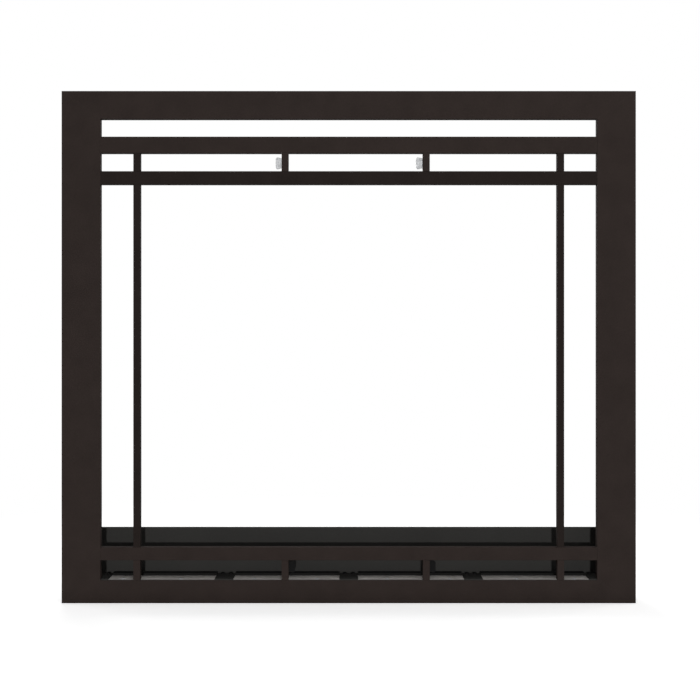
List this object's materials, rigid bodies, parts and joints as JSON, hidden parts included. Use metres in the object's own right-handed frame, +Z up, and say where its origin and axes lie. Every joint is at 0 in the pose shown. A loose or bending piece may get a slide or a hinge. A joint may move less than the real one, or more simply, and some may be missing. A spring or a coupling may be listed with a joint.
{
  "type": "fireplace facade",
  "caption": "Rectangular bronze steel fireplace front with a flush bar grid, clear openings, a set-back black lower panel, turning screen clips and hooks that hang it on a firebox.",
  "frame": {"origin": "on the hearth, under the middle of the width and of the depth from the face to the hook ends", "axes": "+X to the right seen from the front, +Y from the face to the back, +Z up"},
  "size_m": [1.056, 0.08, 0.942],
  "materials": {
    "bronze_powder_coat": "dark bronze fine-texture powder coat",
    "black_paint": "matte black high-heat paint",
    "galvanised_steel": "plain galvanised sheet, fine spangle",
    "zinc_plate": "dull zinc plate",
    "black_oxide": "black oxide",
    "seal_tape": "woven graphite-black glass tape"
  },
  "bodies": {
    "frame": {"top_rail": "bronze_powder_coat", "bottom_rail": "bronze_powder_coat", "left_stile": "bronze_powder_coat", "right_stile": "bronze_powder_coat", "upper_crossbar": "bronze_powder_coat", "middle_crossbar": "bronze_powder_coat", "lower_crossbar": "bronze_powder_coat", "left_upper_mullion": "bronze_powder_coat", "left_main_mullion": "bronze_powder_coat", "left_lower_mullion": "bronze_powder_coat", "right_upper_mullion": "bronze_powder_coat", "right_main_mullion": "bronze_powder_coat", "right_lower_mullion": "bronze_powder_coat", "left_upper_short_mullion": "bronze_powder_coat", "right_upper_short_mullion": "bronze_powder_coat", "left_lower_short_mullion": "bronze_powder_coat", "right_lower_short_mullion": "bronze_powder_coat", "apron_panel": "black_paint", "apron_shelf": "galvanised_steel", "top_left_gusset": "galvanised_steel", "top_right_gusset": "galvanised_steel", "bottom_left_gusset": "galvanised_steel", "bottom_right_gusset": "galvanised_steel", "left_lower_hook": "galvanised_steel", "left_upper_hook": "galvanised_steel", "right_lower_hook": "galvanised_steel", "right_upper_hook": "galvanised_steel", "clip_pivot_screws": "zinc_plate", "clip_washers": "zinc_plate", "gusset_studs": "zinc_plate", "gusset_nuts": "zinc_plate", "hook_studs": "zinc_plate", "hook_nuts": "zinc_plate", "mullion_screws": "zinc_plate", "crossbar_rivets": "zinc_plate", "shelf_rivets": "zinc_plate", "apron_screws": "black_oxide", "apron_seal": "seal_tape"},
    "left_upper_clip": {"left_upper_screen_clip": "zinc_plate"},
    "right_upper_clip": {"right_upper_screen_clip": "zinc_plate"},
    "left_lower_clip": {"left_lower_screen_clip": "black_oxide"},
    "right_lower_clip": {"right_lower_screen_clip": "black_oxide"}
  },
  "joints": [
    {"name": "left_upper_clip_turn", "type": "hinge", "parent": "frame", "child": "left_upper_clip", "pos_m": [-0.11717, -0.0266, 0.81115], "axis": [0, 1, 0], "continuous": true},
    {"name": "right_upper_clip_turn", "type": "hinge", "parent": "frame", "child": "right_upper_clip", "pos_m": [0.14267, -0.0266, 0.81115], "axis": [0, 1, 0], "continuous": true},
    {"name": "left_lower_clip_turn", "type": "hinge", "parent": "frame", "child": "left_lower_clip", "pos_m": [-0.11717, -0.0266, 0.06502], "axis": [0, 1, 0], "continuous": true},
    {"name": "right_lower_clip_turn", "type": "hinge", "parent": "frame", "child": "right_lower_clip", "pos_m": [0.14267, -0.0266, 0.06502], "axis": [0, 1, 0], "continuous": true}
  ]
}
